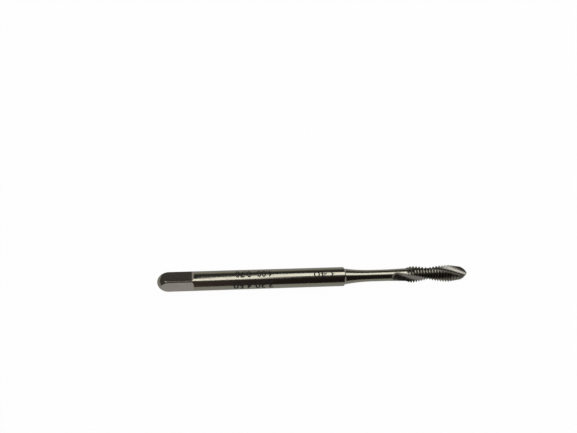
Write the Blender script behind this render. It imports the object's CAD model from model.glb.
import logging
import math
from collections.abc import Callable
from dataclasses import dataclass
from enum import Enum
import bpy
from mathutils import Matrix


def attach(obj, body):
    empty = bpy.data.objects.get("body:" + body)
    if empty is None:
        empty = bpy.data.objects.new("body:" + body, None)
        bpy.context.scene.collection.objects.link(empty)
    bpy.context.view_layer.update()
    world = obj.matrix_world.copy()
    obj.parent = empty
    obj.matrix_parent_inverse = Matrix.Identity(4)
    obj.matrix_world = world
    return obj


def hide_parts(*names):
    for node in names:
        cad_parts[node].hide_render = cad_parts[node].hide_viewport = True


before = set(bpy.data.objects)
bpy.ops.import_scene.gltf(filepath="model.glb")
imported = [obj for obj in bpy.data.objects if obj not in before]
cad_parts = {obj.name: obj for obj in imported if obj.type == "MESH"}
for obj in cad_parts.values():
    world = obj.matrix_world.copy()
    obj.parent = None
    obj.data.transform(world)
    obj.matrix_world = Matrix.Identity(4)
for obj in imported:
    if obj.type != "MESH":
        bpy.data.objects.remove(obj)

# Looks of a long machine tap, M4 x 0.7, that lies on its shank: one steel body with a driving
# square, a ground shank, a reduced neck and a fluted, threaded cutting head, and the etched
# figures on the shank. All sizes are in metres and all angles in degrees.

from types import SimpleNamespace
from typing import TypeAlias

import bmesh
import bpy
from bpy.types import ID, Material, Mesh, NodeSocket, NodeTree, Object
from mathutils import Matrix, Vector

LOG = logging.getLogger("tap")
MM = 0.001
WELD = 0.0015 * MM
FULL_TURN = 360.0
QUARTER_TURN = 90.0
HALF_STEP = 0.5  # keeps a limit off the whole numbers of columns and rows
OVERALL_LENGTH = 74.0 * MM
DRIVE_END_X = -OVERALL_LENGTH / 2
SHANK_RADIUS = 2.25 * MM
AXIS_HEIGHT = SHANK_RADIUS
NECK_RADIUS = 1.37 * MM

Colour: TypeAlias = tuple[float, float, float]
Number: TypeAlias = "Field | float"


class Zone(Enum):
    """The surfaces that are finished apart from each other."""

    SHANK = "ground_shank"
    FLAT = "milled_flat"
    NECK = "ground_neck"
    FLUTE = "ground_flute"
    THREAD = "ground_thread"
    MARK = "etched_mark"


Finishes: TypeAlias = dict[Zone, Material]


# --- objects
def add_object(name: str, data: ID) -> Object:
    """Put a new object into the scene.

    Args:
        name: The object's name.
        data: Its mesh, curve, light or camera.

    Returns:
        The object.
    """
    made = bpy.data.objects.new(name, data)
    bpy.context.scene.collection.objects.link(made)
    return made


def plain_mesh(maker: Object, name: str) -> Mesh:
    """Keep what an object's curve or modifier makes, and drop the object.

    Args:
        maker: The object.
        name: The mesh's name.

    Returns:
        The plain mesh.
    """
    bpy.context.view_layer.update()
    evaluated = maker.evaluated_get(bpy.context.evaluated_depsgraph_get())
    mesh = bpy.data.meshes.new_from_object(evaluated)
    bpy.data.objects.remove(maker)
    mesh.name = name
    return mesh


def facing(across: Vector, upward: Vector, back: Vector, position: Vector) -> Matrix:
    """Return a lamp's or camera's matrix from its three directions and its place."""
    rows = [(across[k], upward[k], back[k], position[k]) for k in range(3)]
    return Matrix((*rows, (0, 0, 0, 1)))


# --- arithmetic on node sockets
def operator(operation: str, swapped: bool = False) -> Callable[..., "Field"]:
    """Make a method that adds one Math node to a field's tree.

    Args:
        operation: Blender's name of the operation.
        swapped: Whether the field comes last.

    Returns:
        The method, which takes the other operands and returns the result.
    """
    def method(field: "Field", *others: Number) -> "Field":
        """Return the operation's result."""
        values = (*others, field) if swapped else (field, *others)
        return Field.compute(field.tree, operation, *values)
    return method


@dataclass(frozen=True)
class Field:
    """A number that varies over a mesh, built up by ordinary arithmetic on node sockets."""

    tree: NodeTree
    socket: NodeSocket

    __add__ = __radd__ = operator("ADD")
    __mul__ = __rmul__ = operator("MULTIPLY")
    __sub__ = operator("SUBTRACT")
    __rsub__ = operator("SUBTRACT", swapped=True)
    __truediv__ = operator("DIVIDE")
    root = operator("SQRT")
    floor = operator("FLOOR")
    nearest_whole = operator("ROUND")
    size_of = operator("ABSOLUTE")
    at_most = operator("MINIMUM")
    at_least = operator("MAXIMUM")
    is_below = operator("LESS_THAN")
    is_above = operator("GREATER_THAN")
    _sine = operator("SINE")
    _cosine = operator("COSINE")
    _arc_cosine = operator("ARCCOSINE")
    _arc_tangent = operator("ARCTAN2")

    @staticmethod
    def compute(tree: NodeTree, operation: str, *values: Number) -> "Field":
        """Add one Math node.

        Args:
            tree: The node tree that gets the node.
            operation: Blender's name of the operation.
            values: The operands, as fields or plain numbers.

        Returns:
            The node's result.
        """
        node = tree.nodes.new("ShaderNodeMath")
        node.operation = operation
        for slot, value in zip(node.inputs, values):
            feed(tree, slot, value)
        return Field(tree, node.outputs[0])

    def squared(self) -> "Field":
        """Return the square."""
        return self * self

    def as_share(self) -> "Field":
        """Return the value kept between 0 and 1."""
        return self.at_most(1.0).at_least(0.0)

    def sine(self) -> "Field":
        """Return the sine of an angle in degrees."""
        return (self * math.radians(1))._sine()

    def cosine(self) -> "Field":
        """Return the cosine of an angle in degrees."""
        return (self * math.radians(1))._cosine()

    def angle_with_cosine(self) -> "Field":
        """Return the angle in degrees whose cosine this is, 0 where it is over 1."""
        return self.at_most(1.0)._arc_cosine() * math.degrees(1)

    def angle_over(self, run: "Field") -> "Field":
        """Return the angle in degrees of a slope with this rise and the given run."""
        return self._arc_tangent(run) * math.degrees(1)

    def below(self, limit: Number, inside: Number, outside: Number) -> "Field":
        """Return the inside value where this field is under the limit, and else the outside."""
        chosen = self.is_below(limit)
        return chosen * inside + (1.0 - chosen) * outside

    def toward(self, other: Number, share: Number) -> "Field":
        """Return the value a share of the way from this one to another."""
        return self + (other - self) * share

    def split(self, count: int) -> tuple["Field", "Field"]:
        """Return a whole number's group of so many, and its place in the group."""
        group = ((self + HALF_STEP) / count).floor()
        return group, self - group * count


def feed(tree: NodeTree, slot: NodeSocket, value: object) -> None:
    """Link a field to an input, or set the input's own value.

    Args:
        tree: The node tree.
        slot: The input.
        value: The field or plain value.
    """
    if isinstance(value, Field):
        tree.links.new(value.socket, slot)
    else:
        slot.default_value = value


# --- meshes from node trees
@dataclass(frozen=True)
class Lattice:
    """A grid of columns round the axis and rows along it, still flat."""

    rows: int
    geometry: NodeSocket
    column: Field
    row: Field
    face_column: Field
    face_row: Field

    @property
    def share(self) -> Field:
        """How far each point lies from the first row to the last, from 0 to 1."""
        return self.row / self.rows


class BodyTree:
    """A Geometry Nodes tree that wraps lattices round the tap's axis and welds them."""

    def __init__(self, name: str, finishes: Finishes) -> None:
        """Start an empty tree.

        Args:
            name: The tree's name.
            finishes: The materials by zone.
        """
        self.tree = bpy.data.node_groups.new(name, "GeometryNodeTree")
        self.tree.interface.new_socket("Mesh", in_out="OUTPUT", socket_type="NodeSocketGeometry")
        self.entry = self.tree.nodes.new("NodeGroupInput")
        self.finishes = finishes
        self.values: dict[str, float] = {}
        self.size = SimpleNamespace()
        self.zones: list[NodeSocket] = []
        self.start = self.number("drive_end_x", DRIVE_END_X)
        self.rise = self.number("axis_height", AXIS_HEIGHT)

    def number(self, name: str, value: float) -> Field:
        """Add a named input.

        Args:
            name: What the input sets.
            value: Its value, in metres or degrees.

        Returns:
            The input as a field.
        """
        item = self.tree.interface.new_socket(name, in_out="INPUT", socket_type="NodeSocketFloat")
        item.default_value = value
        self.values[item.identifier] = value
        return Field(self.tree, self.entry.outputs[name])

    def take_sizes(self, part: "Section", names: str) -> None:
        """Make inputs of the sizes whose names are given, for the zones that follow."""
        kind = type(part).__name__
        self.size = SimpleNamespace(**{
            name: self.number(f"{kind}.{name}", getattr(part, name)) for name in names.split()})

    def constant(self, value: float) -> Field:
        """Return a plain number as a field."""
        return Field.compute(self.tree, "ADD", value, 0.0)

    def lattice(self, columns: int, rows: int) -> Lattice:
        """Add a flat grid.

        Args:
            columns: Faces round the axis.
            rows: Faces along the axis.

        Returns:
            The grid, with the column and row of each point.
        """
        grid = self.tree.nodes.new("GeometryNodeMeshGrid")
        grid.inputs["Vertices X"].default_value = columns + 1
        grid.inputs["Vertices Y"].default_value = rows + 1
        index = Field(self.tree, self.tree.nodes.new("GeometryNodeInputIndex").outputs[0])
        return Lattice(rows, grid.outputs["Mesh"], *index.split(rows + 1), *index.split(rows))

    def change(
        self, kind: str, shape: NodeSocket, domain: str = "", **inputs: object
    ) -> NodeSocket:
        """Pass a mesh through one more node.

        Args:
            kind: The node's type.
            shape: The mesh.
            domain: What the node works on, where it has a choice.
            inputs: Fields or plain values by the input's name, with _ for a space.

        Returns:
            The changed mesh.
        """
        node = self.tree.nodes.new(kind)
        if domain:
            node.domain = domain
        self.tree.links.new(shape, node.inputs["Geometry"])
        for name, value in inputs.items():
            feed(self.tree, node.inputs[name.replace("_", " ")], value)
        return node.outputs["Geometry"]

    def set_finish(self, shape: NodeSocket, zone: Zone, chosen: Field | None = None) -> NodeSocket:
        """Return the mesh with a zone's material on all of its faces or the chosen ones."""
        only = {} if chosen is None else {"Selection": chosen}
        return self.change("GeometryNodeSetMaterial", shape, Material=self.finishes[zone], **only)

    def wrap(self, grid: Lattice, along: Field, turn: Field, radius: Field) -> NodeSocket:
        """Move a flat grid's points to their places round the axis.

        Args:
            grid: The grid.
            along: Distance from the drive end.
            turn: Angle about the axis, from +Y toward +Z.
            radius: Distance from the axis.

        Returns:
            The wrapped mesh.
        """
        place = self.tree.nodes.new("ShaderNodeCombineXYZ")
        coordinates = (self.start + along, radius * turn.cosine(),
                       self.rise + radius * turn.sine())
        for slot, value in zip(place.inputs, coordinates):
            feed(self.tree, slot, value)
        return self.change("GeometryNodeSetPosition", grid.geometry,
                           Position=Field(self.tree, place.outputs[0]))

    def close(self, sharp_over: float) -> None:
        """Weld the zones together and end the tree.

        Args:
            sharp_over: Edges that turn by more than this many degrees stay crisp.
        """
        join = self.tree.nodes.new("GeometryNodeJoinGeometry")
        for zone in self.zones:
            self.tree.links.new(zone, join.inputs[0])
        shape = self.change("GeometryNodeMergeByDistance", join.outputs[0], Distance=WELD)
        shape = self.change("GeometryNodeSetShadeSmooth", shape, "FACE")
        edge = self.tree.nodes.new("GeometryNodeInputMeshEdgeAngle")
        fold = Field(self.tree, edge.outputs["Unsigned Angle"])
        shape = self.change("GeometryNodeSetShadeSmooth", shape, "EDGE", Shade_Smooth=False,
                            Selection=fold.is_above(math.radians(sharp_over)))
        self.tree.links.new(shape, self.tree.nodes.new("NodeGroupOutput").inputs[0])

    def mesh_object(self, name: str) -> Object:
        """Run the tree and keep its result as a plain mesh.

        Args:
            name: The new object's name.

        Returns:
            The object, at the origin and without modifiers.
        """
        maker = add_object(name + "_maker", bpy.data.meshes.new(name + "_maker"))
        modifier = maker.modifiers.new("shape", "NODES")
        modifier.node_group = self.tree
        for identifier, value in self.values.items():
            modifier[identifier] = value
        return add_object(name, plain_mesh(maker, name))


# --- finishes
class Surface:
    """A procedural material that is being built, with its patterns fixed to the object."""

    def __init__(self, name: str, metallic: float) -> None:
        """Start a material.

        Args:
            name: Its name.
            metallic: 1 for bare metal and 0 for anything else.
        """
        self.material = bpy.data.materials.new(name)
        self.material.use_nodes = True
        self.tree = self.material.node_tree
        self.shader = self.tree.nodes["Principled BSDF"]
        self.shader.inputs["Metallic"].default_value = metallic
        self.place = self.tree.nodes.new("ShaderNodeTexCoord").outputs["Object"]

    def noise(self, scale: Colour, detail: float) -> Field:
        """Add a noise pattern.

        Args:
            scale: Features per metre along X, Y and Z.
            detail: Octaves of finer noise.

        Returns:
            The pattern.
        """
        mapping = self.tree.nodes.new("ShaderNodeMapping")
        mapping.inputs["Scale"].default_value = scale
        self.tree.links.new(self.place, mapping.inputs["Vector"])
        noise = self.tree.nodes.new("ShaderNodeTexNoise")
        noise.inputs["Scale"].default_value = 1.0
        noise.inputs["Detail"].default_value = detail
        self.tree.links.new(mapping.outputs["Vector"], noise.inputs["Vector"])
        return Field(self.tree, noise.outputs["Fac"])

    def finish(self, colours: tuple[Colour, Colour], share: Field, roughness: Field,
               height: Field, depth: float) -> Material:
        """Feed the shader.

        Args:
            colours: The main colour and the one mixed in.
            share: Share of the second colour.
            roughness: The roughness.
            height: The relief, from 0 to 1.
            depth: The relief's depth.

        Returns:
            The finished material.
        """
        mix = self.tree.nodes.new("ShaderNodeMix")
        mix.data_type = "RGBA"
        for name, colour in zip("AB", colours):
            mix.inputs[name].default_value = (*colour, 1.0)
        feed(self.tree, mix.inputs["Factor"], share)
        bump = self.tree.nodes.new("ShaderNodeBump")
        bump.inputs["Strength"].default_value = 1.0
        bump.inputs["Distance"].default_value = depth
        feed(self.tree, bump.inputs["Height"], height)
        self.tree.links.new(mix.outputs["Result"], self.shader.inputs["Base Color"])
        self.tree.links.new(bump.outputs["Normal"], self.shader.inputs["Normal"])
        feed(self.tree, self.shader.inputs["Roughness"], roughness)
        return self.material


class Lay(Enum):
    """Which way the fine lines of a finish run, as features per metre along X, Y and Z."""

    AROUND = (26000.0, 500.0, 500.0)
    EVEN = (9000.0, 9000.0, 9000.0)


@dataclass(frozen=True)
class SteelFinish:
    """Bare high-speed steel with its tool marks, stain and wear."""

    zone: Zone
    colour: Colour
    stain: Colour
    stain_share: float
    roughness: float
    roughness_spread: float
    lay: Lay
    groove_depth: float
    shade_by: str = ""
    shade_roughness: float = 0.0
    blotch_scale: Colour = (420.0, 520.0, 520.0)
    line_detail: float = 2.0
    blotch_detail: float = 3.0
    contrast: float = 1.8
    blotch_part: float = 0.7
    line_part: float = 0.3

    def material(self) -> Material:
        """Build the procedural material.

        Returns:
            The material, named after its zone.
        """
        surface = Surface(self.zone.value, 1.0)
        lines = self._spread(surface.noise(self.lay.value, self.line_detail))
        blotches = self._spread(surface.noise(self.blotch_scale, self.blotch_detail))
        share = (blotches * self.blotch_part + lines * self.line_part) * self.stain_share
        low = self.roughness - self.roughness_spread / 2
        rough = (lines * 0.5 + blotches * 0.5) * self.roughness_spread + low
        if self.shade_by:
            node = surface.tree.nodes.new("ShaderNodeAttribute")
            node.attribute_name = self.shade_by
            shade = Field(surface.tree, node.outputs["Fac"])
            share = share + shade
            rough = rough + shade * self.shade_roughness
        return surface.finish((self.colour, self.stain), share.as_share(), rough,
                              lines, self.groove_depth)

    def _spread(self, pattern: Field) -> Field:
        """Spread a pattern over about 0 to 1."""
        return ((pattern - 0.5) * self.contrast + 0.5).as_share()


@dataclass(frozen=True)
class Etch:
    """Dark, matt figures burnt into the steel."""

    zone: Zone = Zone.MARK
    colour: Colour = (0.012, 0.009, 0.007)
    paler: Colour = (0.022, 0.017, 0.014)
    scale: Colour = (7000.0, 7000.0, 7000.0)
    detail: float = 3.0
    roughness: float = 0.55
    roughness_spread: float = 0.3
    depth: float = 0.004 * MM

    def material(self) -> Material:
        """Build the procedural material.

        Returns:
            The material of the etched figures.
        """
        surface = Surface(self.zone.value, 0.0)
        noise = surface.noise(self.scale, self.detail)
        return surface.finish((self.colour, self.paler), noise,
                              noise * self.roughness_spread + self.roughness, noise, self.depth)


STEEL = (0.55, 0.53, 0.43)
FINISHES = (
    SteelFinish(Zone.SHANK, STEEL, (0.33, 0.29, 0.22), 0.30, 0.15, 0.10, Lay.AROUND, 0.0004 * MM),
    SteelFinish(Zone.FLAT, (0.74, 0.67, 0.61), (0.48, 0.43, 0.39), 0.55, 0.13, 0.06, Lay.AROUND,
                0.0014 * MM),
    SteelFinish(Zone.NECK, STEEL, (0.30, 0.26, 0.20), 0.35, 0.17, 0.10, Lay.AROUND, 0.0005 * MM),
    SteelFinish(Zone.FLUTE, (0.48, 0.47, 0.42), (0.31, 0.21, 0.15), 0.30, 0.27, 0.14, Lay.EVEN,
                0.0010 * MM, shade_by="heat", shade_roughness=0.38),
    SteelFinish(Zone.THREAD, (0.46, 0.45, 0.38), (0.14, 0.12, 0.09), 0.25, 0.26, 0.12, Lay.EVEN,
                0.0006 * MM, shade_by="root", shade_roughness=0.1),
    Etch(),
)


# --- the steel body
@dataclass(frozen=True)
class Section:
    """A length of the tap, and the tree that gets its zones."""

    body: BodyTree


@dataclass(frozen=True)
class DriveShank(Section):
    """Bullet nose, milled square, ground shank, step and reduced neck."""

    shank_radius: float = 2.2485 * MM
    nose_length: float = 2.65 * MM
    half_flats: float = 1.7 * MM
    square_length: float = 7.75 * MM
    runout_radius: float = 0.6 * MM
    corner_angle: float = 108.0
    flat_count: int = 4
    shank_end: float = 43.3 * MM
    step_chamfer: float = 0.38 * MM
    neck_radius: float = NECK_RADIUS
    blend_radius: float = 43.0 * MM
    flat_columns: int = 16
    corner_columns: int = 30
    nose_rows: int = 12
    straight_rows: int = 6
    runout_rows: int = 14
    shank_rows: int = 40
    step_rows: int = 2
    blend_rows: int = 24
    neck_rows: int = 8
    taper_rows: int = 3

    @property
    def columns(self) -> int:
        """Columns of the round lengths."""
        return self.flat_count * self.corner_columns

    @property
    def side_angle(self) -> float:
        """Angle from one flat to the next."""
        return FULL_TURN / self.flat_count

    @property
    def side_columns(self) -> int:
        """Columns of one flat and one corner of the square."""
        return self.flat_columns + self.corner_columns

    @property
    def flat_angle(self) -> float:
        """Angle of the middle of the first flat."""
        return self.corner_angle + self.side_angle / 2

    @property
    def blend_length(self) -> float:
        """Length of the concave grind from the step to the neck."""
        drop = self.shank_radius - self.step_chamfer - self.neck_radius
        return math.sqrt(2 * self.blend_radius * drop - drop * drop)

    @property
    def runout_length(self) -> float:
        """Length over which the flats run out into the shank."""
        depth = self.shank_radius - self.half_flats
        return math.sqrt(2 * self.runout_radius * depth - depth * depth)

    @property
    def flats_start_angle(self) -> float:
        """Angle round the nose's ellipse where the flats begin."""
        return math.degrees(math.asin(self.half_flats / self.shank_radius))

    def build(self, head: "CuttingHead") -> None:
        """Add every zone from the nose to the end of the neck.

        Args:
            head: The cutting head that the neck leads to.
        """
        self.body.take_sizes(self, "shank_radius nose_length half_flats square_length "
                             "runout_radius flat_angle shank_end step_chamfer neck_radius "
                             "blend_radius blend_length")
        self._nose_cap()
        self._square()
        self._shank()
        self._neck(head)

    def _round(self, grid: Lattice, along: Field, radius: Field, zone: Zone,
               twist: Field | None = None) -> None:
        """Wrap a grid of even columns as a turned surface.

        Args:
            grid: The flat grid.
            along: Distance from the drive end.
            radius: Radius at each row.
            zone: The surface's zone.
            twist: Extra turn of the columns at each row.
        """
        turn = self.body.size.flat_angle + grid.column * (FULL_TURN / self.columns)
        if twist is not None:
            turn = turn + twist
        shape = self.body.wrap(grid, along, turn, radius)
        self.body.zones.append(self.body.set_finish(shape, zone))

    def _nose_cap(self) -> None:
        """Add the round tip of the nose, up to where the flats begin."""
        grid = self.body.lattice(self.columns, self.nose_rows)
        rim = grid.row * (self.flats_start_angle / self.nose_rows)
        along = self.body.size.nose_length * (1.0 - rim.cosine())
        self._round(grid, along, self.body.size.shank_radius * rim.sine(), Zone.SHANK)

    def _square(self) -> None:
        """Add the milled square: the nose's shoulder, the flats and their run-out."""
        size = self.body.size
        columns = self.flat_count * self.side_columns
        start = self.flats_start_angle
        grid = self.body.lattice(columns, self.nose_rows)
        rim = grid.row * ((QUARTER_TURN - start) / self.nose_rows) + start
        along = size.nose_length * (1.0 - rim.cosine())
        self._flats(grid, along, size.shank_radius * rim.sine(), size.half_flats)
        grid = self.body.lattice(columns, self.straight_rows)
        along = size.nose_length.toward(size.square_length, grid.share)
        self._flats(grid, along, size.shank_radius, size.half_flats)
        grid = self.body.lattice(columns, self.runout_rows)
        depth = size.shank_radius - size.half_flats
        reach = (2.0 * size.runout_radius * depth - depth.squared()).root()
        passed = reach * (1.0 - (1.0 - grid.share).squared())
        lift = size.runout_radius - (size.runout_radius.squared() - passed.squared()).root()
        self._flats(grid, size.square_length + passed, size.shank_radius,
                    size.half_flats + lift)

    def _flats(self, grid: Lattice, along: Field, rim: Field,
               depth: Field) -> None:
        """Wrap a grid as a turned surface with four flats on it.

        Args:
            grid: The flat grid, with the flats' and the corners' columns in turn.
            along: Distance from the drive end.
            rim: Radius of the turned surface.
            depth: Distance of the flats from the axis.
        """
        side, local = grid.column.split(self.side_columns)
        half = (depth / rim).angle_with_cosine()
        on_flat = half * (local * (2.0 / self.flat_columns) - 1.0)
        past = (local - self.flat_columns) / self.corner_columns
        on_corner = half + (self.side_angle - 2.0 * half) * past
        flat_radius = (depth / on_flat.cosine()).at_most(rim)
        last = self.flat_columns + HALF_STEP
        swing = local.below(last, on_flat, on_corner)
        turn = self.body.size.flat_angle + side * self.side_angle + swing
        shape = self.body.wrap(grid, along, turn, local.below(last, flat_radius, rim))
        shape = self.body.set_finish(shape, Zone.SHANK)
        place = grid.face_column.split(self.side_columns)[1]
        chosen = place.is_below(self.flat_columns - HALF_STEP)
        self.body.zones.append(self.body.set_finish(shape, Zone.FLAT, chosen))

    def _shank(self) -> None:
        """Add the ground shank and the chamfer at its end."""
        size = self.body.size
        grid = self.body.lattice(self.columns, self.shank_rows)
        begin = self.square_length + self.runout_length
        along = size.shank_end.toward(begin, 1.0 - grid.share)
        self._round(grid, along, size.shank_radius, Zone.SHANK)
        grid = self.body.lattice(self.columns, self.step_rows)
        fall = size.step_chamfer * grid.share
        self._round(grid, size.shank_end + fall, size.shank_radius - fall, Zone.SHANK)

    def _neck(self, head: "CuttingHead") -> None:
        """Add the concave grind, the neck and its slow widening up to the flutes.

        Args:
            head: The cutting head, whose columns the neck's columns meet.
        """
        size = self.body.size
        column = FULL_TURN / self.columns
        land_turn = head.flute_turn(head.flute_full_start)
        turn = self.body.number("neck_column_turn", (land_turn - self.flat_angle) % column)
        blend_start = size.shank_end + size.step_chamfer
        grid = self.body.lattice(self.columns, self.blend_rows)
        passed = size.blend_length * grid.share
        left = size.blend_length - passed
        sag = size.blend_radius - (size.blend_radius.squared() - left.squared()).root()
        self._round(grid, blend_start + passed, size.neck_radius + sag, Zone.NECK)
        grid = self.body.lattice(self.columns, self.neck_rows)
        along = (blend_start + size.blend_length).toward(head.taper_start, grid.share)
        self._round(grid, along, size.neck_radius, Zone.NECK, turn * grid.share)
        grid = self.body.lattice(self.columns, self.taper_rows)
        along = self.body.constant(head.taper_start).toward(head.flute_begin, grid.share)
        end_radius = head.neck_radius_at(head.flute_begin)
        radius = size.neck_radius.toward(end_radius, grid.share)
        self._round(grid, along, radius, Zone.NECK, turn)


@dataclass(frozen=True)
class CuttingHead(Section):
    """Neck's end, two spiral flutes, ground thread, lead chamfer and rounded point."""

    overall_length: float = OVERALL_LENGTH
    neck_radius: float = NECK_RADIUS
    taper_start: float = 54.0 * MM
    taper_rise: float = 0.15 * MM
    rise_start: float = 58.6 * MM
    thread_start: float = 59.95 * MM
    thread_radius: float = 2.0235 * MM
    thread_pitch: float = 0.7 * MM
    thread_depth: float = 0.49 * MM
    thread_angle: float = 60.0
    chamfer_start: float = 69.25 * MM
    chamfer_drop: float = 0.48 * MM
    point_length: float = 1.75 * MM
    bulge_length: float = 0.6 * MM
    bulge_radius: float = 1.02 * MM
    flute_count: int = 2
    flute_lead: float = 40.0 * MM
    flute_radius: float = 1.75 * MM
    core_radius: float = 0.75 * MM
    flute_tip_angle: float = 104.0
    flute_start: float = 54.85 * MM
    start_margin: float = 1e-5 * MM
    start_rounds: int = 20
    edge_turn_guess: float = 46.0
    edge_swing_guess: float = 53.0
    edge_rounds: int = 2
    edge_share: float = 0.9999
    root_stain: float = 0.55
    heat_end: float = 63.0 * MM
    land_columns: int = 60
    flute_columns: int = 32
    flank_rows: int = 4
    turns: int = 19
    runout_rows: int = 20
    plain_rows: int = 6
    point_rows: int = 10
    tip_rows: int = 10

    @property
    def point_start(self) -> float:
        """Where the rounded point begins, from the drive end."""
        return self.overall_length - self.point_length

    @property
    def point_radius(self) -> float:
        """Radius at the small end of the lead chamfer."""
        return self.thread_radius - self.chamfer_drop

    @property
    def flank_slope(self) -> float:
        """Half the groove's width over its depth."""
        return math.tan(math.radians(self.thread_angle / 2))

    @property
    def flute_full_start(self) -> float:
        """Where the flutes reach their full depth, at the middle of the ball they start with."""
        return self.flute_start + self._ball_reach(self.neck_radius)

    @property
    def flute_begin(self) -> float:
        """Where the flutes come out of the neck's surface."""
        begin = self.flute_start
        for _ in range(self.start_rounds):
            begin = self.flute_full_start - self._ball_reach(self.neck_radius_at(begin))
        return begin - self.start_margin

    @property
    def lean(self) -> float:
        """Angle between a flute's middle line and the axis, in radians."""
        middle = self.core_radius + self.flute_radius
        return math.atan(2 * math.pi * middle / self.flute_lead)

    @property
    def row_pitch(self) -> float:
        """Thread spacing along a line that turns with the flutes."""
        return 1.0 / (1.0 / self.thread_pitch - 1.0 / self.flute_lead)

    @property
    def helix_start(self) -> float:
        """Where the first row that follows the thread starts."""
        phase = self.flute_turn(self.rise_start) / FULL_TURN
        return self.rise_start + self.row_pitch * (phase - math.floor(phase) - 1.0)

    @property
    def core_turn(self) -> float:
        """Share of the point's curve at which its radius has come down to the core."""
        square = self.point_radius - 2 * self.bulge_radius
        linear = 2 * (self.bulge_radius - self.point_radius)
        rest = self.point_radius - self.core_radius
        return (-linear - math.sqrt(linear * linear - 4 * square * rest)) / (2 * square)

    @property
    def rows_per_turn(self) -> int:
        """Rows in one thread: two flanks and the crest."""
        return 2 * self.flank_rows + 1

    @property
    def thread_rows(self) -> int:
        """Rows that follow the thread, with the wedges before and after it."""
        return (self.turns + 2) * self.rows_per_turn

    @property
    def sector_columns(self) -> int:
        """Columns of one land and one flute."""
        return self.land_columns + self.flute_columns

    @property
    def spacing(self) -> float:
        """Angle from one flute to the next."""
        return FULL_TURN / self.flute_count

    def flute_turn(self, along: float) -> float:
        """Return the first flute's angle at a distance from the drive end."""
        return self.flute_tip_angle + FULL_TURN * (along - self.overall_length) / self.flute_lead

    def neck_radius_at(self, along: float) -> float:
        """Return the widening neck's radius at a distance from the drive end."""
        share = (along - self.taper_start) / (self.rise_start - self.taper_start)
        return self.neck_radius + self.taper_rise * share

    def _ball_reach(self, radius: float) -> float:
        """Return how far the flute's ball reaches along the axis at a radius."""
        depth = radius - self.core_radius
        return math.sqrt(2 * self.flute_radius * depth - depth * depth)

    def build(self) -> None:
        """Add every zone from the start of the flutes to the tip.
"""
        self.body.take_sizes(self, "overall_length neck_radius taper_start taper_rise "
                             "rise_start thread_start thread_radius thread_pitch thread_depth "
                             "chamfer_start point_start point_radius bulge_length bulge_radius "
                             "flute_lead flute_radius core_radius flute_tip_angle flute_begin "
                             "flute_full_start heat_end helix_start row_pitch core_turn")
        rows = (self.runout_rows + self.plain_rows + self.thread_rows + self.point_rows
                + self.tip_rows)
        grid = self.body.lattice(self.flute_count * self.sector_columns, rows)
        self._wrap(grid, *self._rows(grid.row))

    def _rows(self, row: Field) -> tuple[Field, Field]:
        """Lay out the rows: straight ones, then ones that follow the thread, then straight again.

        The first and the last turn of the thread's rows are wedges that meet the straight ones.

        Args:
            row: Row counted from the start of the flutes.

        Returns:
            Where each row starts, and how far it moves along the axis in one turn.
        """
        size = self.body.size
        before = self.runout_rows + self.plain_rows
        runout_share = (row / self.runout_rows).at_most(1.0).squared()
        runout_rows = size.flute_begin.toward(size.flute_full_start, runout_share)
        plain_share = (row - self.runout_rows) / self.plain_rows
        plain_rows = size.flute_full_start.toward(size.helix_start, plain_share)
        step = (row - before).at_least(0.0).at_most(self.thread_rows)
        turn, rest = step.split(self.rows_per_turn)
        phase = turn + self._phase(rest)
        thread_rows = size.helix_start + size.row_pitch * (phase - 1.0).at_least(0.0)
        shear = size.row_pitch * phase.at_most(1.0).at_most(self.turns + 2.0 - phase)
        ring = size.helix_start + size.row_pitch * (self.turns + 1.0)
        first = self._point_share(ring - size.point_start)
        past = row - (before + self.thread_rows)
        point_share = first.toward(size.core_turn, (past / self.point_rows).at_most(1.0))
        tip_share = ((past - self.point_rows) / self.tip_rows).at_least(0.0)
        point_rows = self._point_along(point_share.toward(1.0, tip_share))
        start = past.below(HALF_STEP, thread_rows, point_rows)
        start = row.below(before + HALF_STEP, plain_rows, start)
        return row.below(self.runout_rows + HALF_STEP, runout_rows, start), shear

    def _phase(self, row: Field) -> Field:
        """Place a row within one thread, with rows on the crest's edges.

        Args:
            row: Row counted from the bottom of a groove.

        Returns:
            The share of one turn.
        """
        flank = self.body.size.thread_depth * self.flank_slope
        edge = flank / self.body.size.thread_pitch / self.flank_rows
        falling = 1.0 - (self.rows_per_turn - row) * edge
        return row.below(self.flank_rows + HALF_STEP, row * edge, falling)

    def _point_sizes(self) -> tuple[Field, Field]:
        """Return the length of the point's curve and that of its slope at the start."""
        length = self.body.size.overall_length - self.body.size.point_start
        return length, length - self.body.size.bulge_length

    def _point_share(self, passed: Field) -> Field:
        """Turn a distance past the point's start into the share of its curve.

        Args:
            passed: The distance.

        Returns:
            The share.
        """
        length, lean = self._point_sizes()
        curl = length - 2.0 * lean
        return ((lean.squared() + curl * passed).root() - lean) / curl

    def _point_along(self, share: Field) -> Field:
        """Turn a share of the point's curve into the distance from the drive end.

        Args:
            share: The share.

        Returns:
            The distance.
        """
        length, lean = self._point_sizes()
        start = self.body.size.point_start
        return start + 2.0 * lean * share * (1.0 - share) + length * share.squared()

    def _blank(self, along: Field) -> Field:
        """Give the blank's radius before flutes and thread.

        Args:
            along: Distance from the drive end.

        Returns:
            The radius.
        """
        size = self.body.size

        def passed(start: Field, end: Field) -> Field:
            """Return the share of the way from one place to another."""
            return (along - start) / (end - start)

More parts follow.
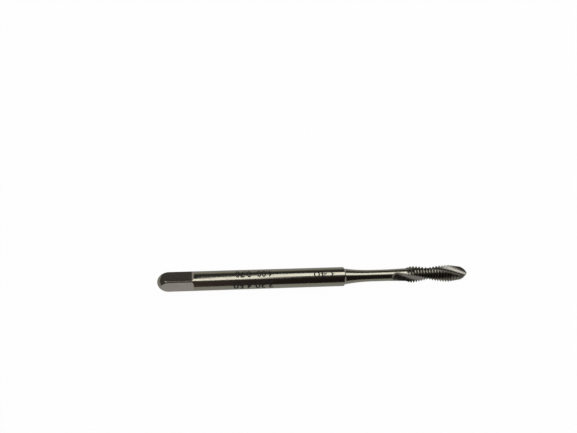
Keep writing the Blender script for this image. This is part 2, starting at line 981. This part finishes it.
        taper = size.neck_radius + size.taper_rise * passed(size.taper_start, size.rise_start)
        foot = size.neck_radius + size.taper_rise
        rise_share = passed(size.rise_start, size.thread_start)
        rise = foot.toward(size.thread_radius, rise_share)
        fall_share = passed(size.chamfer_start, size.point_start)
        fall = size.thread_radius.toward(size.point_radius, fall_share)
        thread = rise.at_most(size.thread_radius).at_most(fall)
        past = (along - size.point_start).at_least(0.0)
        share = self._point_share(past).at_most(1.0)
        rest = 1.0 - share
        point = size.point_radius * rest.squared() + 2.0 * size.bulge_radius * share * rest
        head = along.below(size.point_start, thread, point)
        return along.below(size.rise_start, taper, head)

    def _surface(self, along: Field, turn: Field) -> Field:
        """Give the land's radius, with the thread cut into it.

        Args:
            along: Distance from the drive end.
            turn: Angle from the first flute's middle.

        Returns:
            The radius.
        """
        size = self.body.size
        phase = (along - size.helix_start) / size.row_pitch - turn / FULL_TURN
        off = (phase - phase.nearest_whole()).size_of() * size.thread_pitch
        groove = size.thread_radius - size.thread_depth + off / self.flank_slope
        return groove.at_most(self._blank(along))

    def _reach(self, along: Field, swing: Field) -> tuple[Field, Field]:
        """Give the flute's size where it crosses the row, as a tube that starts with a ball.

        Args:
            along: Distance from the drive end.
            swing: Angle about the flute's middle line, from the flute's bottom.

        Returns:
            How far ahead of the row the section's middle lies, and the section's radius.
        """
        size = self.body.size
        sine = swing.sine()
        flat = (sine.squared() + (swing.cosine() * math.cos(self.lean)).squared()).root()
        tube_ahead = size.flute_radius * (sine / flat * math.sin(self.lean))
        ahead = tube_ahead.at_least(size.flute_full_start - along)
        return ahead, (size.flute_radius.squared() - ahead.squared()).root()

    def _wall(self, along: Field, swing: Field) -> tuple[Field, Field]:
        """Give a point on the flute's wall.

        Args:
            along: Distance from the drive end.
            swing: Angle about the flute's middle line, from the flute's bottom.

        Returns:
            The angle from the flute's middle and the radius there.
        """
        size = self.body.size
        ahead, reach = self._reach(along, swing)
        out = size.core_radius + size.flute_radius - reach * swing.cosine()
        across = reach * swing.sine()
        turn = across.angle_over(out) + ahead / size.flute_lead * FULL_TURN
        return turn, (out.squared() + across.squared()).root()

    def _edge(self, row_start: Field, shear: Field, flute: Field,
              side: float) -> tuple[Field, Field, Field]:
        """Find where a row crosses one edge of a flute.

        Args:
            row_start: Where the row starts, from the drive end.
            shear: How far the row moves along the axis in one turn.
            flute: Number of the flute, with whole turns counted on.
            side: 1 for the edge on the rising side of the angle and -1 for the other.

        Returns:
            The angle from the flute's middle, the swing to it and the radius there.
        """
        middle = self.body.size.core_radius + self.body.size.flute_radius
        turn = self.body.constant(self.edge_turn_guess * side)
        swing = self.body.constant(self.edge_swing_guess * side)
        for _ in range(self.edge_rounds):
            from_first = flute * self.spacing + turn
            along = row_start + shear * (from_first / FULL_TURN)
            radius = self._surface(along, from_first)
            for _ in range(self.edge_rounds):
                reach = self._reach(along, swing)[1]
                rest = middle.squared() + reach.squared() - radius.squared()
                swing = (rest / (2.0 * middle * reach)).angle_with_cosine() * side
            turn = self._wall(along, swing)[0]
        return turn, swing, radius

    def _wrap(self, grid: Lattice, row_start: Field, shear: Field) -> None:
        """Wrap a grid round the head as lands and flutes.

        Args:
            grid: The flat grid: half a flute, a land and half a flute, again for each flute.
            row_start: Where each row starts, from the drive end.
            shear: How far each row moves along the axis in one turn.
        """
        size = self.body.size
        half = self.flute_columns / 2
        land_end = half + self.land_columns - HALF_STEP
        sector, local = grid.column.split(self.sector_columns)
        near = self._edge(row_start, shear, sector, 1.0)
        far = self._edge(row_start, shear, sector + 1.0, -1.0)
        land_share = (local - half) / self.land_columns
        land_turn = (sector * self.spacing
                     + near[0].toward(self.spacing + far[0], land_share))
        in_far = local.is_above(land_end)
        in_near = local.is_below(half + HALF_STEP)
        in_flute = in_far + in_near
        share = (in_far * (self.sector_columns - local) + in_near * local) / half
        middle_turn = (sector + in_far) * self.spacing
        edge_turn, edge_swing, edge_radius = (
            one.toward(other, in_far) for one, other in zip(near, far))
        edge_along = row_start + shear * ((middle_turn + edge_turn) / FULL_TURN)
        wall_turn, wall_radius = self._wall(edge_along, share * edge_swing)
        at_edge = share.is_above(self.edge_share)
        flute_turn = middle_turn + wall_turn.toward(edge_turn, at_edge)
        turn = land_turn.toward(flute_turn, in_flute)
        along = row_start + shear * (turn / FULL_TURN)
        floor_radius = wall_radius.at_most(edge_radius).toward(edge_radius, at_edge)
        radius = self._surface(along, turn).toward(floor_radius, in_flute)
        twist = (along - size.overall_length) / size.flute_lead * FULL_TURN
        shape = self.body.wrap(grid, along, size.flute_tip_angle + twist + turn, radius)
        shape = self._shades(shape, along, radius)
        shape = self.body.set_finish(shape, Zone.THREAD)
        thread_row = self.runout_rows + self.plain_rows + self.rows_per_turn - HALF_STEP
        shape = self.body.set_finish(shape, Zone.NECK, grid.face_row.is_below(thread_row))
        place = grid.face_column.split(self.sector_columns)[1]
        chosen = place.is_below(half - HALF_STEP) + place.is_above(land_end)
        self.body.zones.append(self.body.set_finish(shape, Zone.FLUTE, chosen))

    def _shades(self, shape: NodeSocket, along: Field, radius: Field) -> NodeSocket:
        """Keep where grease lies in the roots and where the flutes ran hot.

        Args:
            shape: The wrapped mesh.
            along: Distance from the drive end.
            radius: Distance from the axis.

        Returns:
            The mesh with both shades on its points.
        """
        size = self.body.size
        depth = (size.thread_radius - radius) / size.thread_depth
        past = (along - size.flute_begin) / (size.heat_end - size.flute_begin)
        shades = {"root": depth.as_share().squared() * self.root_stain,
                  "heat": 1.0 - past.as_share()}
        for name, shade in shades.items():
            shape = self.body.change("GeometryNodeStoreNamedAttribute", shape, "POINT",
                                Name=name, Value=shade)
        return shape


@dataclass(frozen=True)
class TapBody:
    """The whole steel body, made as one closed skin."""

    sharp_over: float = 24.0

    def build(self, finishes: Finishes) -> Object:
        """Make the body's mesh with its finishes.

        Args:
            finishes: The materials by zone.

        Returns:
            The body.
        """
        tree = BodyTree("tap_body", finishes)
        head = CuttingHead(tree)
        DriveShank(tree).build(head)
        head.build()
        tree.close(self.sharp_over)
        piece = tree.mesh_object("tap_body")
        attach(piece, "root")
        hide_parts("tap")
        return piece


# --- etched figures
@dataclass(frozen=True)
class Mark:
    """One line of figures etched round the shank."""

    name: str
    words: str
    middle: float
    turn: float
    height: float
    width: float
    weight: float
    radius: float = SHANK_RADIUS
    thickness: float = 0.012 * MM
    raw_thickness: float = 0.01
    raw_weld: float = 0.0001
    cuts: int = 14
    cut_tolerance: float = 1e-8

    def build(self, material: Material) -> Object:
        """Make the figures as thin closed solids bent round the shank.

        Args:
            material: Their finish.

        Returns:
            The line of figures.
        """
        curve = bpy.data.curves.new(self.name, "FONT")
        curve.body = self.words
        curve.align_x = "CENTER"
        curve.align_y = "CENTER"
        curve.size = 1.0
        curve.extrude = self.raw_thickness
        curve.offset = self.weight
        mesh = plain_mesh(add_object(self.name + "_maker", curve), self.name)
        self._bend(mesh)
        mesh.materials.clear()
        mesh.materials.append(material)
        piece = add_object(self.name, mesh)
        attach(piece, "root")
        return piece

    def _bend(self, mesh: Mesh) -> None:
        """Scale the flat figures and lay them round the shank.

        Args:
            mesh: The flat figures.
        """
        form = bmesh.new()
        form.from_mesh(mesh)
        bmesh.ops.remove_doubles(form, verts=form.verts, dist=self.raw_weld)
        xs = [v.co.x for v in form.verts]
        ys = [v.co.y for v in form.verts]
        middle_x, middle_y = (min(xs) + max(xs)) / 2, (min(ys) + max(ys)) / 2
        scale_x = self.width / (max(xs) - min(xs))
        scale_y = self.height / (max(ys) - min(ys))
        for v in form.verts:
            v.co.x = (v.co.x - middle_x) * scale_x
            v.co.y = (v.co.y - middle_y) * scale_y
            v.co.z = 0.0 if v.co.z > 0 else -self.thickness
        for k in range(1, self.cuts):
            level = self.height * (k / self.cuts - 0.5)
            bmesh.ops.bisect_plane(form, geom=form.verts[:] + form.edges[:] + form.faces[:],
                                   dist=self.cut_tolerance, plane_co=(0, level, 0),
                                   plane_no=(0, 1, 0))
        bmesh.ops.triangulate(form, faces=form.faces[:])
        for v in form.verts:
            angle = math.radians(self.turn) + v.co.y / self.radius
            reach = self.radius + v.co.z
            v.co = Vector((DRIVE_END_X + self.middle - v.co.x,
                           reach * math.cos(angle), AXIS_HEIGHT + reach * math.sin(angle)))
        bmesh.ops.recalc_face_normals(form, faces=form.faces[:])
        form.to_mesh(mesh)
        form.free()


MARKS = (
    Mark("size_figures", "4.00  0.70", 22.1 * MM, 70.0, 1.8 * MM, 8.6 * MM, 0.008),
    Mark("bore_figures", "3.30 4.50", 21.9 * MM, 142.0, 2.1 * MM, 9.2 * MM, 0.025),
    Mark("square_figures", "3.40", 38.6 * MM, 87.0, 1.3 * MM, 5.3 * MM, 0.0),
)


# --- studio
@dataclass(frozen=True)
class Viewpoint:
    """The camera, aimed at a point beside the tap."""

    azimuth: float = -33.79
    elevation: float = 72.0
    distance: float = 0.1541
    aim: tuple[float, float] = (-0.00543, 0.01630)
    roll: float = 18.218
    lens: float = 40.555
    sensor_width: float = 36.0
    nearest: float = 0.01
    farthest: float = 10.0
    centre_height: float = AXIS_HEIGHT

    def place(self) -> Object:
        """Create the camera and make it the scene's own.

        Returns:
            The camera.
        """
        azimuth, elevation = math.radians(self.azimuth), math.radians(self.elevation)
        away = Vector((math.sin(azimuth) * math.cos(elevation),
                       -math.cos(azimuth) * math.cos(elevation), math.sin(elevation)))
        position = Vector((0, 0, self.centre_height)) + self.distance * away
        sight = (Vector((*self.aim, 0.0)) - position).normalized()
        right = sight.cross(Vector((0, 0, 1))).normalized()
        up = right.cross(sight)
        roll = math.radians(self.roll)
        across = right * math.cos(roll) + up * math.sin(roll)
        upward = up * math.cos(roll) - right * math.sin(roll)
        data = bpy.data.cameras.new("camera")
        data.sensor_fit = "HORIZONTAL"
        data.sensor_width = self.sensor_width
        data.lens = self.lens
        data.clip_start = self.nearest
        data.clip_end = self.farthest
        camera = add_object("camera", data)
        camera.matrix_world = facing(across, upward, -sight, position)
        bpy.context.scene.camera = camera
        return camera


@dataclass(frozen=True)
class Softbox:
    """Length of the overhead light, between two places along and two angles about the axis."""

    name: str
    start: float
    end: float
    low: float
    high: float

    def hang(self, reach: float, radiance: float) -> None:
        """Add the light, facing the tap.

        Args:
            reach: Distance from the axis.
            radiance: Light it sends out.
        """
        length = self.end - self.start
        width = 2 * reach * math.tan(math.radians((self.high - self.low) / 2))
        light = bpy.data.lights.new(self.name, "AREA")
        light.shape = "RECTANGLE"
        light.size = length
        light.size_y = width
        light.energy = radiance * math.pi * length * width
        middle = math.radians((self.low + self.high) / 2)
        outward = Vector((0, -math.cos(middle), math.sin(middle)))
        across = Vector((1, 0, 0))
        position = outward * reach + across * ((self.start + self.end) / 2)
        lamp = add_object(self.name, light)
        lamp.matrix_world = facing(across, outward.cross(across), outward, position)


@dataclass(frozen=True)
class Cloth:
    """Stretch of cloth between two angles about the axis, which only the steel reflects."""

    name: str
    low: float
    high: float
    shade: float
    near_shade: float
    tint: Colour
    with_ends: bool = False
    steps: int = 32
    fade_from: float = 0.06
    fade_length: float = 0.09

    def hang(self, radius: float, half_length: float) -> None:
        """Add the cloth.

        Args:
            radius: Its distance from the axis.
            half_length: Half its length along the axis.
        """
        arc = []
        for step in range(self.steps + 1):
            angle = math.radians(self.low + (self.high - self.low) * step / self.steps)
            arc.append((-radius * math.cos(angle), radius * math.sin(angle)))
        points = [(x, y, z) for x in (-half_length, half_length) for y, z in arc]
        count = len(arc)
        faces = [(k, k + 1, k + count + 1, k + count) for k in range(self.steps)]
        if self.with_ends:
            faces += [tuple(range(count)), tuple(range(count, 2 * count))]
        mesh = bpy.data.meshes.new(self.name)
        mesh.from_pydata(points, [], faces)
        mesh.materials.append(self._material())
        cloth = add_object(self.name, mesh)
        for kind in ("camera", "diffuse", "shadow", "transmission"):
            setattr(cloth, f"visible_{kind}", False)

    def _material(self) -> Material:
        """Build the cloth's material, which has its own level at the drive end.

        Returns:
            The material.
        """
        material = bpy.data.materials.new(self.name)
        material.use_nodes = True
        tree = material.node_tree
        nodes, links = tree.nodes, tree.links
        place = nodes.new("ShaderNodeSeparateXYZ")
        links.new(nodes.new("ShaderNodeTexCoord").outputs["Object"], place.inputs["Vector"])
        near = ((self.fade_from - Field(tree, place.outputs["X"])) / self.fade_length).as_share()
        cloth = nodes.new("ShaderNodeEmission")
        cloth.inputs["Color"].default_value = (*self.tint, 1.0)
        feed(tree, cloth.inputs["Strength"], near * (self.near_shade - self.shade) + self.shade)
        links.new(cloth.outputs[0], nodes["Material Output"].inputs["Surface"])
        material.cycles.emission_sampling = "NONE"
        return material


SOFTBOXES = (
    Softbox("drive_end_softbox", -0.32, -0.018, 77.0, 100.0),
    Softbox("middle_softbox", -0.018, 0.03, 80.0, 114.0),
    Softbox("point_softbox", 0.03, 0.32, 95.0, 129.0),
)
CLOTHS = (
    Cloth("front_flag", 0.5, 80.0, 0.016, 0.060, (1.0, 0.74, 0.72)),
    Cloth("back_flag", 80.0, 162.0, 0.030, 0.036, (0.92, 0.96, 1.0)),
    Cloth("grey_wall", 162.0, 179.5, 0.12, 0.27, (1.0, 0.96, 0.78)),
    Cloth("end_flags", 0.5, 179.5, 0.03, 0.06, (1.0, 0.95, 0.85), True),
)


@dataclass(frozen=True)
class Studio:
    """White floor, a long softbox overhead in three lengths and cloth round it."""

    reach: float = 0.45
    cloth_reach: float = 0.45 * 1.15
    end_reach: float = 0.45 * 1.2
    cloth_half_length: float = 0.5
    box_radiance: float = 1.48
    floor_size: float = 3.0
    floor_in_steel: float = 0.34
    floor_glow: float = 0.97
    paper: Colour = (0.85, 0.85, 0.85)
    paper_roughness: float = 0.9
    ambient: float = 0.55

    def build(self) -> None:
        """Make the floor, the lights, the flags and the world."""
        self._floor()
        self._world()
        for softbox in SOFTBOXES:
            softbox.hang(self.reach, self.box_radiance)
        for cloth in CLOTHS:
            reach = self.end_reach if cloth.with_ends else self.cloth_reach
            cloth.hang(reach, self.cloth_half_length)
        bpy.context.scene.view_settings.view_transform = "Standard"

    def _seen(self, tree: NodeTree) -> tuple[Field, Field]:
        """Read the kinds of ray that look at a background.

        Args:
            tree: The node tree.

        Returns:
            Whether the ray is the camera's, and whether metal or glass shows it.
        """
        path = tree.nodes.new("ShaderNodeLightPath")
        camera, glossy, clear = (Field(tree, path.outputs[f"Is {kind} Ray"])
                                 for kind in ("Camera", "Glossy", "Transmission"))
        return camera, (glossy + clear).at_most(1.0)

    def _floor(self) -> None:
        """Make the floor that is white to the eye and keeps the tap's shadow."""
        half = self.floor_size / 2
        mesh = bpy.data.meshes.new("floor")
        corners = [(-half, -half, 0), (half, -half, 0), (half, half, 0), (-half, half, 0)]
        mesh.from_pydata(corners, [], [(0, 1, 2, 3)])
        floor = add_object("floor", mesh)
        material = bpy.data.materials.new("floor_paper")
        material.use_nodes = True
        tree = material.node_tree
        nodes, links = tree.nodes, tree.links
        paper = nodes["Principled BSDF"]
        paper.inputs["Base Color"].default_value = (*self.paper, 1.0)
        paper.inputs["Roughness"].default_value = self.paper_roughness
        paper.inputs["Specular IOR Level"].default_value = 0.0
        camera, mirrored = self._seen(tree)
        glow = nodes.new("ShaderNodeEmission")
        level = (camera + mirrored * self.floor_in_steel).at_most(1.0)
        feed(tree, glow.inputs["Strength"], level)
        mix = nodes.new("ShaderNodeMixShader")
        feed(tree, mix.inputs["Fac"], (camera * self.floor_glow + mirrored).at_most(1.0))
        links.new(paper.outputs[0], mix.inputs[1])
        links.new(glow.outputs[0], mix.inputs[2])
        links.new(mix.outputs[0], nodes["Material Output"].inputs["Surface"])
        material.cycles.emission_sampling = "NONE"
        mesh.materials.append(material)

    def _world(self) -> None:
        """Light from all round, white to the eye."""
        world = bpy.data.worlds.new("room")
        bpy.context.scene.world = world
        world.use_nodes = True
        background = world.node_tree.nodes["Background"]
        camera, mirrored = self._seen(world.node_tree)
        seen = (camera + mirrored).at_most(1.0)
        level = seen + (1.0 - seen) * self.ambient
        feed(world.node_tree, background.inputs["Strength"], level)
        background.inputs["Color"].default_value = (1.0, 1.0, 1.0, 1.0)


def main() -> None:
    """Build the tap, its figures and the studio, and keep both boxes."""
    logging.basicConfig(level=logging.INFO, format="%(name)s: %(message)s")
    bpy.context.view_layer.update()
    finishes = {finish.zone: finish.material() for finish in FINISHES}
    pieces = [TapBody().build(finishes)]
    pieces += [mark.build(finishes[Zone.MARK]) for mark in MARKS]
    for piece in pieces:
        LOG.info("%s: %d faces", piece.name, len(piece.data.polygons))
    Studio().build()
    Viewpoint().place()


if __name__ == "__main__":
    main()
